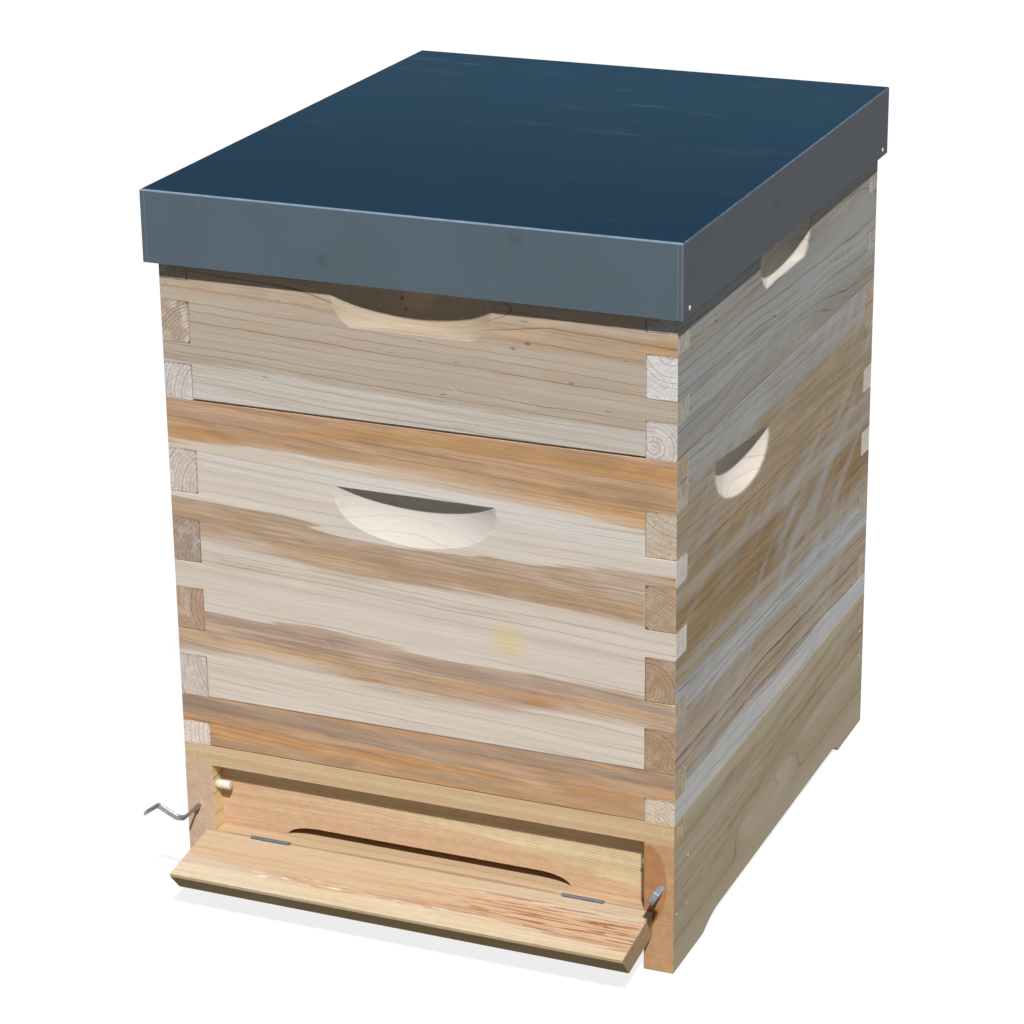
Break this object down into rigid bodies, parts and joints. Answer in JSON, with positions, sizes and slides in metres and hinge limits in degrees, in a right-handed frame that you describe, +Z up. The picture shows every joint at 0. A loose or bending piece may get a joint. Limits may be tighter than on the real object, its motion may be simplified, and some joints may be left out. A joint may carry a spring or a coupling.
{
  "type": "dadant beehive",
  "caption": "Dadant beehive: finger-jointed brood body and shallow super on a mesh floor with a hinged landing board, under a flat blue sheet roof.",
  "frame": {"origin": "on the ground, under the middle of the boxes", "axes": "+Z up, +X to the right of someone facing the entrance, +Y from the entrance to the back"},
  "size_m": [0.4524, 0.5852, 0.6018],
  "materials": {
    "floor_wood": "bare pine",
    "body_wood": "bare pine",
    "super_wood": "bare pine",
    "frame_wood": "planed softwood",
    "cover_wood": "plywood",
    "wax": "beeswax",
    "roof_paint": "satin blue",
    "zinc": "galvanised",
    "rivet_metal": "dull",
    "peg_white": "white"
  },
  "bodies": {
    "floor": {"floor_left_side": "floor_wood", "floor_right_side": "floor_wood", "floor_front_rail": "floor_wood", "floor_rear_board": "floor_wood", "floor_sill": "floor_wood", "entrance_block": "floor_wood", "entrance_peg_left": "peg_white", "entrance_peg_right": "peg_white", "mesh_batten_left": "floor_wood", "mesh_batten_right": "floor_wood", "mesh_batten_front": "floor_wood", "mesh_batten_rear": "floor_wood", "mesh_floor": "zinc", "sill_hinge_leaf_left": "zinc", "sill_hinge_leaf_right": "zinc", "hinge_pin_left": "zinc", "hinge_pin_right": "zinc"},
    "landing_board": {"landing_board": "floor_wood", "board_hinge_leaf_left": "zinc", "board_hinge_leaf_right": "zinc"},
    "hook_left": {"hook_left": "zinc", "hook_screw_left": "zinc"},
    "hook_right": {"hook_right": "zinc", "hook_screw_right": "zinc"},
    "tray": {"tray": "zinc", "tray_pull": "floor_wood"},
    "brood_body": {"body_front_board": "body_wood", "body_back_board": "body_wood", "body_left_board": "body_wood", "body_right_board": "body_wood", "body_front_runner": "zinc", "body_back_runner": "zinc", "body_frame_top_bars": "frame_wood", "body_frame_end_bars": "frame_wood", "body_frame_bottom_bars": "frame_wood", "body_wax_sheets": "wax"},
    "super": {"super_front_board": "super_wood", "super_back_board": "super_wood", "super_left_board": "super_wood", "super_right_board": "super_wood", "super_front_runner": "zinc", "super_back_runner": "zinc", "super_frame_top_bars": "frame_wood", "super_frame_end_bars": "frame_wood", "super_frame_bottom_bars": "frame_wood", "super_wax_sheets": "wax"},
    "cover": {"cover_panel": "cover_wood", "feeder_plug": "cover_wood"},
    "roof": {"roof_sheet": "roof_paint", "roof_board": "cover_wood", "roof_rivets": "rivet_metal"}
  },
  "joints": [
    {"name": "landing_board_hinge", "type": "hinge", "parent": "floor", "child": "landing_board", "pos_m": [0, -0.2578, 0.0525], "axis": [-1, 0, 0], "range_deg": [0, 98]},
    {"name": "hook_left_pivot", "type": "hinge", "parent": "floor", "child": "hook_left", "pos_m": [-0.2042, -0.2575, 0.0735], "axis": [0, 1, 0], "range_deg": [-25, 155]},
    {"name": "hook_right_pivot", "type": "hinge", "parent": "floor", "child": "hook_right", "pos_m": [0.2042, -0.2575, 0.0735], "axis": [0, -1, 0], "range_deg": [-58, 122]},
    {"name": "tray_slide", "type": "slide", "parent": "floor", "child": "tray", "axis": [0, 1, 0], "range_m": [0, 0.48]},
    {"name": "body_lift", "type": "slide", "parent": "floor", "child": "brood_body", "axis": [0, 0, 1], "range_m": [0, 0.15]},
    {"name": "super_lift", "type": "slide", "parent": "brood_body", "child": "super", "axis": [0, 0, 1], "range_m": [0, 0.15]},
    {"name": "cover_lift", "type": "slide", "parent": "super", "child": "cover", "axis": [0, 0, 1], "range_m": [0, 0.1]},
    {"name": "roof_lift", "type": "slide", "parent": "cover", "child": "roof", "axis": [0, 0, 1], "range_m": [0, 0.15]}
  ]
}
